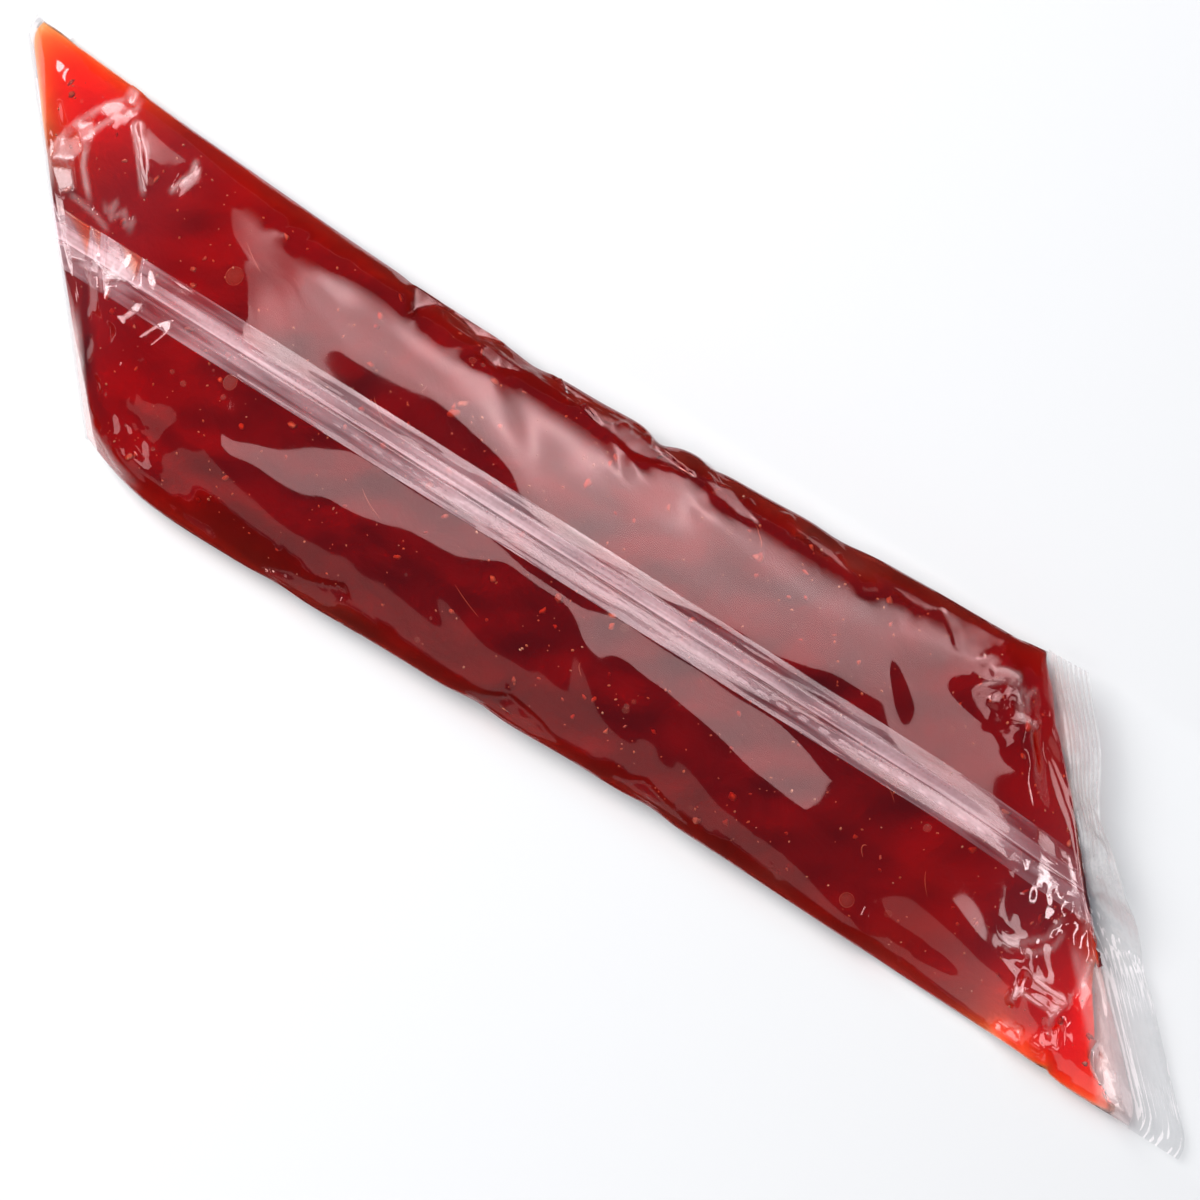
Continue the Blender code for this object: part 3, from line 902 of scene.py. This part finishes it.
def pulp_body(rows, columns, inset, short):
    """The settled pulp, a layer over the underside that is thin at the ends and ends short of the gel."""
    share = np.linspace(0, 1, rows)[:, None]
    across = np.linspace(-1, 1, columns)[None, :] * (1 - inset)
    near, far = near_gap(across) + short, far_gap(across) + short
    row = blend(near / AXIS_LENGTH, 1 - far / AXIS_LENGTH, share) * ROWS
    column = HALF * (across + 1) / 2 + 0 * row
    over, under = sample(skin, row, column), sample(skin, row, (RING - column) % RING)
    room = over[..., 2] - under[..., 2]
    fill = 0.42 + 0.05 * waves(5, over[..., 0], over[..., 1], 40, 12)
    fill = fill * smooth(np.sin(share * math.pi) * 2.2) * smooth((1 - np.abs(across)) * 5) * 0.8 + 0.15
    ceiling = under + (over - under) * fill[..., None]
    ground = under + (over - under) * np.minimum(0.9 / np.maximum(room, 1), 0.1)[..., None]
    points = np.concatenate([ceiling, ground[:, -2:0:-1]], 1)
    return points, capped_faces(*points.shape[:2])


pulp_points, pulp_faces = pulp_body(200, 72, 0.03, 0.6)
x, y = pulp_points[..., 0], pulp_points[..., 1]
near_tip, far_tip = np.hypot((x + 222) / 1.15, y - 50), np.hypot((x - 212) / 1.1, y + 50)
PALE_SPOTS = ((183, -34, 6), (178, -28, 4), (171, -45, 4), (163, -46.5, 3.5), (192, -45, 6), (200, -48, 5))
pale = sum(hill(np.hypot(x - px, y - py) / size) for px, py, size in PALE_SPOTS)
# painted light: the pulp is coloured orange near the two acute tips and lighter red towards both ends, for
# the light that passes through the thin gel there
pulp = put_mesh("filling_pulp", pulp_points, pulp_faces, pulp_material(),
                glow=np.maximum(smooth((50 - near_tip) / 32), smooth((66 - far_tip) / 42)),
                shallow=smooth((np.abs(x + 8) - 85) / 60), pale=smooth(pale * 1.3))

# --- end seals ---

FIN_COLUMNS, FIN_ROWS = 300, 46
RIB_PITCH = 1.5
share = share_of(np.linspace(-1, 1, FIN_COLUMNS)[None, :])
reach = np.linspace(0, FIN_WIDTH, FIN_ROWS)[:, None]
root_x, root_y = plan_point(np.float64(1.0), share)
along, up = fin_reach(share, reach)
# the twist beside the seam, the narrow place over it, and the slack of the lower half
stretch = 1 - 0.2 * hill((root_y - 19) / 9) + 0.1 * hill((root_y + 2) / 9) + 0.06 * smooth((-root_y - 8) / 10)
down, out = root_y + 0 * reach, reach + 0 * root_y
fin_points = np.stack([root_x + along * stretch + PLAN_SHIFT, down, seal_height(1.0, share) + up], -1)
twist = hill((down - 5) / 14)
ribs = np.cos(out / RIB_PITCH * FULL_TURN + 0.3 * np.sin(down / 14)) * smooth((out - 0.8) / 1.5)
ribs = ribs * (0.35 + 0.65 * smooth((down + 2) / 20)) * (1 - 0.6 * twist)
slack = 0.5 * waves(62, down, out * 0.6, 46, 18) + 0.9 * twist * np.sin(down / 3.6 + out / 7)
slack = slack + crumple(down, out, 63, 34, (4, 8, 16, 5, 0), (4, 14), (1, 2.6), (0.15, 0.5), 60, 50)
slack = slack + crumple(down, out, 64, 26, (0, 8, 50, 5, 0), (5, 16), (0.9, 2), (0.06, 0.2), 20, 20)
fin_height = 0.13 * ribs + smooth(out / 3) * slack
fin_points = fin_points + grid_normals(fin_points, wrap=False) * fin_height[..., None]
fin_points[..., 2] = np.maximum(fin_points[..., 2], LOWEST)
fin_frost = 0.06 + 0.28 * smooth((down + 6) / 20) * smooth(out / 2) + 0.12 * twist + 0.1 * ribs \
    + 0.05 * waves(65, down, out * 2, 12, 4) + 0.14 * smooth((1.2 - np.abs(out - 11.8)) / 0.8)
# the fin's frost is painted grey, darker than the rest of the film, as painted shade
fin = put_mesh("far_end_fin", fin_points, grid_faces(FIN_ROWS, FIN_COLUMNS),
               film_material("sealed_film_painted_shade", frost_colour=(0.54, 0.54, 0.54)),
               frost=np.clip(fin_frost, 0.04, 0.75), air=1 + 0 * fin_frost)

# the near seal turns under the end and lies flat below it
turns = np.linspace(0, math.pi, 9)[:, None]
near_x, near_y = plan_point(np.float64(0.0), share)
near_z = seal_height(0.0, share)
radius = (near_z - TUCK_MIDDLE) / 2
tuck = np.linspace(0, TUCK_WIDTH, 10)[1:, None] * math.hypot(1, NEAR_SLANT)
bend = np.stack([near_x - np.minimum(radius, FOLD_REACH) * np.sin(turns), near_y + 0 * turns,
                 near_z - radius * (1 - np.cos(turns))], -1)
flap = np.stack([near_x + tuck, near_y + 0 * tuck, TUCK_MIDDLE + 0 * near_z + 0 * tuck], -1)
fold_points = np.concatenate([bend, flap]) + (PLAN_SHIFT, 0, 0)
size = fold_points.shape[:2]
fold = put_mesh("near_end_fold", fold_points, grid_faces(*size), film_material("folded_film"),
                frost=np.full(size, 0.12), air=np.ones(size))

# --- back seam ---

SEAM_ROWS, SEAM_COLUMNS, SEAM_HALF_WIDTH, DASH_PITCH = 571, 45, 7.2, 6.6
SEAM_PATCHES = (((-189, 8.4, -177, 8.4, -171.6, -1, -176, -2.6), 64),
                ((-175.6, 8.6, -173, 8.4, -166.4, -2, -169.4, -3), 44),
                ((-171, 8.6, -158.6, 8.7, -156, 2, -163.6, -2.8), 46),
                ((147, 5.6, 152, 5, 154, 3.4, 149, 3.8), 46), ((139, 7, 146, 6, 149, 2, 141, 3), 30))


def seam_middle(x):
    return 1.2 - 2.0 * smooth((x - 105) / 60)


seam_share = np.linspace(-1, 1, SEAM_COLUMNS)
seam_points = np.empty((SEAM_ROWS, SEAM_COLUMNS, 3))
seam_normals = np.empty_like(seam_points)
upper = np.arange(HALF // 5, HALF - HALF // 5 + 1)
for i, row in enumerate(np.linspace(0, ROWS, SEAM_ROWS)):
    line = sample(skin, np.full(len(upper), row), upper.astype(float))
    column = np.full(SEAM_COLUMNS, HALF / 2.0)
    for _ in range(3):
        target = seam_middle(np.interp(column, upper, line[:, 0])) + seam_share * SEAM_HALF_WIDTH
        column = np.interp(target, line[:, 1], upper)
    row = np.full(SEAM_COLUMNS, row)
    seam_points[i], seam_normals[i] = sample(skin, row, column), sample(normals, row, column)
from_edge = (1 - np.abs(seam_share)) * SEAM_HALF_WIDTH
seam_points += seam_normals * (0.2 + 0.12 * smooth(from_edge / 1.3))[None, :, None]
# x along the seam, and mm down from its upper edge
line, down = seam_points[..., 0], np.broadcast_to((1 - seam_share) * SEAM_HALF_WIDTH, seam_points.shape[:2])
# the welded ridge, the loose flap below it with its row of dashes, and the slack of both ends
welded = smooth((down - 3.9) / 0.5) * (1 - smooth((down - 7.7) / 0.2))
dashes = hill((down - 10.3 - 0.15 * np.sin(line / 31)) / 0.38) * (0.22 + 0.78 * smooth((line - 10) / 60))
dashes = dashes * smooth(0.5 + 1.6 * np.cos(line / DASH_PITCH * FULL_TURN))
pocket, far_slack = smooth((-150 - line) / 10), smooth((line - 120) / 25)
folds = crumple(line, down, 73, 36, (0, 7, 190, 7, 0), (5, 16), (1, 2.6), (0.15, 0.5), 60, 50)
uneven = 0.008 * waves(71, line * 0.1, down, 3.2, 1.4) + 0.05 * waves(72, line * 0.6, down, 40, 14)
seam_height = 0.08 * welded + 0.1 * hill((down - 7.3) / 0.3) - 0.12 * hill((down - 8.05) / 0.25) \
    + 0.1 * dashes + uneven + (pocket + 0.35 * far_slack) * folds \
    - 0.8 * pocket * hill((down - 1.2 * (line + 176)) / 1.6)
seam_points += seam_normals * (seam_height * smooth(from_edge / 0.6)[None, :])[..., None]
for corners, shows in SEAM_PATCHES:
    seam_points = flattened(seam_points, corners, shows, 0.2)
flap = smooth((down - 8.2) / 0.4)
seam_frost = 0.105 - 0.03 * np.tanh((line + 10) / 40) + 0.25 * welded + 0.3 * hill((down - 7.45) / 0.25) \
    - 0.05 * hill((down - 8.05) / 0.2) + 0.04 * hill((down - 3.6) / 0.2) + 0.06 * smooth((down - 9) / 2) \
    + 0.15 * flap * (1 - smooth((down - 11) / 1)) + 0.24 * dashes + 0.05 * hill((from_edge - 0.25) / 0.2)
seam_frost = seam_frost * (1 - 0.4 * flap * smooth((-line - 85) / 30))
seam_frost = seam_frost + 0.12 * hill((down - 9) / 1.2) * smooth((line - 60) / 40)
seam_frost = seam_frost * (1 - 0.22 * smooth((-line - 60) / 40))
cloudy = 0.045 * waves(74, line * 0.5, down * 2, 40, 8) + 0.1 * hill((line - 3) / 14) * smooth((down - 8) / 3)
cloudy = cloudy + 0.04 * waves(75, line * 0.05, down, 2.2, 0.9)
seam_frost = 0.88 * (seam_frost + cloudy) * (1 - 0.35 * far_slack) + 0.08 * pocket
seam = put_mesh("back_seam", seam_points, grid_faces(SEAM_ROWS, SEAM_COLUMNS),
                film_material("seam_film", mirror_colour=(1.0, 0.8, 0.82), frost_colour=(1.0, 0.68, 0.72)),
                frost=np.clip(seam_frost, 0.02, 0.8), air=0.35 + 0.6 * pocket)

# --- seeds, shreds and bubbles ---


def ball(subdivisions):
    mesh = bmesh.new()
    bmesh.ops.create_icosphere(mesh, subdivisions=subdivisions, radius=1.0)
    mesh.verts.ensure_lookup_table()
    points = np.array([v.co for v in mesh.verts])
    faces = np.array([[v.index for v in face.verts] for face in mesh.faces])
    mesh.free()
    return points, faces


def scattered(seed, count, sizes, depths, subdivisions=1, roughly=0.0, thinness=(0.5, 0.8), spots=()):
    """Many small balls in the gel under the film, as one mesh. spots are x, y, size of a few set ones."""
    draw = np.random.default_rng(seed)
    shape, faces = ball(subdivisions)
    plan = skin[:, :HALF + 1, :2].reshape(-1, 2)
    points, all_faces = [], []
    for number in range(count + len(spots)):
        row, column = draw.uniform(8, ROWS - 8), HALF * (0.5 + 0.42 * draw.uniform(-1, 1))
        size = math.exp(draw.uniform(math.log(sizes[0]), math.log(sizes[1]))) / 2
        if number >= count:
            x, y, size = spots[number - count]
            row, column = divmod(int(np.argmin(np.hypot(plan[:, 0] - x, plan[:, 1] - y))), HALF + 1)
            size = size / 2
        row, column = np.array([row], float), np.array([column], float)
        at, out = sample(skin, row, column)[0], sample(normals, row, column)[0]
        under = sample(skin, row, RING - column)[0]
        thin = draw.uniform(*thinness)
        depth = min(draw.uniform(*depths) + size * thin, 0.5 * (at[2] - under[2]))
        turn = draw.uniform(0, FULL_TURN)
        first = np.array([math.cos(turn), math.sin(turn), 0])
        first = unit(first - out * first.dot(out))
        local = shape
        for _ in range(3 if roughly else 0):
            way = draw.normal(size=3)
            local = local * (1 + roughly * np.sin(2.2 * shape @ way + draw.uniform(0, 6)))[:, None]
        width = size * draw.uniform(*((0.55, 0.8) if subdivisions < 3 else (0.85, 1)))
        axes = np.stack([first * size, np.cross(out, first) * width, out * size * thin])
        all_faces.append(faces + len(shape) * number)
        points.append(at - out * depth + local @ axes)
    return np.concatenate(points), np.concatenate(all_faces)


def fibres(seed, count):
    """Thin curved strands just under the film."""
    draw = np.random.default_rng(seed)
    sides, steps = 5, 12
    points, faces = [], []
    for number in range(count):
        row, column = draw.uniform(30, ROWS - 30), HALF * (0.5 + 0.36 * draw.uniform(-1, 1))
        length, bend = draw.uniform(3, 8), draw.uniform(-2.0, 2.0)
        angle, thick, depth = draw.uniform(0, FULL_TURN), draw.uniform(0.1, 0.2), draw.uniform(1.6, 3.2)
        t = np.linspace(-0.5, 0.5, steps)
        way = angle + bend * t
        rows = row + np.cumsum(np.cos(way)) * length / steps / AXIS_LENGTH * ROWS
        columns = column + np.cumsum(np.sin(way)) * length / steps / LAY_FLAT_WIDTH * HALF
        out = sample(normals, rows, columns)
        at = sample(skin, rows, columns) - out * depth
        side = np.cross(out, unit(np.gradient(at, axis=0)))
        taper = thick * np.sqrt(np.maximum(1 - (2 * t) ** 2, 0.02))[:, None, None]
        turn = np.arange(sides)[None, :, None] * FULL_TURN / sides
        ring = side[:, None] * np.cos(turn) + out[:, None] * np.sin(turn)
        points.append((at[:, None] + ring * taper).reshape(-1, 3))
        faces.append(grid_faces(steps, sides, wrap=True, first=number * sides * steps))
    return np.concatenate(points), np.concatenate(faces)


SHRED_SPOTS = ((-61, 17.5, 3.4), (-59.5, 22, 2.2), (-19, 22.5, 2.6), (3.5, 27.5, 2.6), (33, 30.5, 2.6),
               (-9, -10.5, 3.0))
BUBBLE_SPOTS = ((104.2, -38.8, 4.4), (-133, 18, 5.5), (-117, -8, 4.5))
seeds = put_mesh("filling_seeds", *scattered(81, 560, (0.4, 1.15), (0.4, 3.5)),
                 speck_material("strawberry_seeds", (0.3, 0.12, 0.07), (0.5, 0.28, 0.2)))
shred_meshes = scattered(82, 130, (1.0, 2.8), (0.8, 5.0), 2, 0.22, (0.35, 0.6), SHRED_SPOTS)
flecks = put_mesh("filling_shreds", *shred_meshes,
                  speck_material("fruit_shreds", (0.24, 0.035, 0.03), (0.42, 0.13, 0.1)))
bubble_meshes = scattered(83, 46, (0.7, 2.6), (0.1, 1.5), 3, 0.0, (0.3, 0.6), BUBBLE_SPOTS)
bubbles = put_mesh("filling_bubbles", *bubble_meshes, bubble_material())
strands = put_mesh("filling_strands", *fibres(84, 12),
                   speck_material("fruit_strands", (0.25, 0.08, 0.06), (0.4, 0.18, 0.15)))

# --- what goes with what ---

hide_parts("filling_bag")
for piece in (film, fin, fold, seam):
    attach(piece, BODY)
for piece in (gel, pulp, seeds, flecks, bubbles, strands):
    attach(piece, BODY)

# --- studio ---

ROLL = math.radians(32.2)                       # the bag lies this far round from the picture's side
RIGHT = Vector((math.cos(ROLL), math.sin(ROLL), 0))
UP = Vector((-math.sin(ROLL), math.cos(ROLL), 0))

camera = bpy.data.cameras.new("camera")
camera.lens, camera.sensor_width = 85, 36
camera = linked("camera", camera)
view = Matrix((RIGHT, UP, Vector((0, 0, 1)))).transposed().to_4x4()
view.translation = Vector((1.1, -4.4, CAMERA_HEIGHT)) * MM
camera.matrix_world = view
bpy.context.scene.camera = camera


def staged(box, *rays):
    """Hides this from these kinds of ray."""
    for ray in rays:
        setattr(box, "visible_" + ray, False)


def panel(name, corners, look, *rays):
    """A flat panel, a softbox or a card, which the bag mirrors and the camera doesn't see."""
    box = put_mesh(name, corners, [tuple(range(len(corners)))], look, smooth_faces=False)
    staged(box, "camera", "shadow", *rays)


WHITE = (1, 1, 1)
# The key leans over the +Y side; its outline narrows to its foot, and it is brightest in a line across it.
KEY_LEFT = (0, -510, 0.3, -510, 0.5, -450, 0.7, -400, 0.8, -350, 1, -310)
KEY_RIGHT = (0, 780, 0.25, 610, 0.5, 480, 0.93, 300, 1, 285)
KEY_TOP, KEY_FOOT = (95, 960), (750, 280)       # y, z
LINE_LIES_AT = (-300, 0.84, -180, 0.82, -150, 0.75, -100, 0.6, 0, 0.55, 300, 0.55)
LINE_SHINES = (-280, 0, -200, 0.9, -80, 1, 60, 0.5, 300, 0.3)
KEY_ROWS, KEY_COLUMNS = 40, 40
along = np.linspace(0, 1, KEY_ROWS)[:, None] + np.zeros(KEY_COLUMNS)
left = line_at(KEY_LEFT, along)
place = blend(left, line_at(KEY_RIGHT, along), np.linspace(0, 1, KEY_COLUMNS))
shine = 3.4 * (1 - 0.85 * smooth((along - 0.7) / 0.3)) \
    + 4.2 * hill((along - line_at(LINE_LIES_AT, place)) / 0.13) * line_at(LINE_SHINES, place)
shine = shine * (0.3 + 0.7 * np.maximum(smooth((place - left) / 140), smooth((0.3 - along) / 0.2)))
uneven = 1 + 0.08 * waves(51, place, along * 900, 900, 300)
shine = shine * uneven * (1 - 0.35 * smooth((place + 100) / 700))
key_points = np.stack([place, *(blend(top, foot, along) for top, foot in zip(KEY_TOP, KEY_FOOT))], -1)
key_box = put_mesh("key_softbox", key_points, grid_faces(KEY_ROWS, KEY_COLUMNS),
                   glowing("key_softbox", WHITE, "shine"), shine=shine)
staged(key_box, "camera", "diffuse", "shadow")
panel("strip_softbox", [(-450, -150, 950), (440, -120, 950), (375, -475, 950), (-450, -475, 950)],
      glowing("strip_softbox", WHITE, 2.4))
panel("low_reflector", [(-800, -800, 700), (800, -800, 700), (800, -850, 60), (-800, -850, 60)],
      glowing("low_reflector", WHITE, 0.55))
for side in (-1, 1):
    panel("end_softbox", rectangle(1170 * side, -100, 1310 * side, 600, 900),
          glowing("end_softbox", WHITE, 6.5), "diffuse")
    # the film's steep sides mirror dark cards rather than the white floor
    panel("dark_card", rectangle(-600, 54 * side, 600, 1200 * side, 0.3),
          glowing("dark_card", (0.1, 0.06, 0.06), 1.0), "diffuse", "transmission")

overhead = bpy.data.lights.new("overhead", "AREA")
overhead.shape, overhead.size, overhead.energy = "SQUARE", 1.7, 120.0
overhead = linked("overhead", overhead)
overhead.location = (-1.75, 0.45, 1.9)
overhead.rotation_euler = (-overhead.location).to_track_quat("-Z", "Y").to_euler()
overhead.visible_glossy = False

world = bpy.data.worlds.new("world")
world.use_nodes = True
background = world.node_tree.nodes["Background"].inputs
background["Color"].default_value = (0.5, 0.62, 0.9, 1)
background["Strength"].default_value = 0.16
bpy.context.scene.world = world

floor_look, tree = new_material("white_floor")
output(tree, principled(tree, (0.7, 0.7, 0.7, 1), 0.7))
floor = put_mesh("floor", rectangle(-9000, -9000, 9000, 9000, 0), [(0, 1, 2, 3)], floor_look)

scene = bpy.context.scene
scene.view_settings.view_transform = "Standard"
scene.cycles.transparent_max_bounces = 24
scene.cycles.max_bounces = 10
scene.cycles.transmission_bounces = 8
scene.cycles.diffuse_bounces = 2
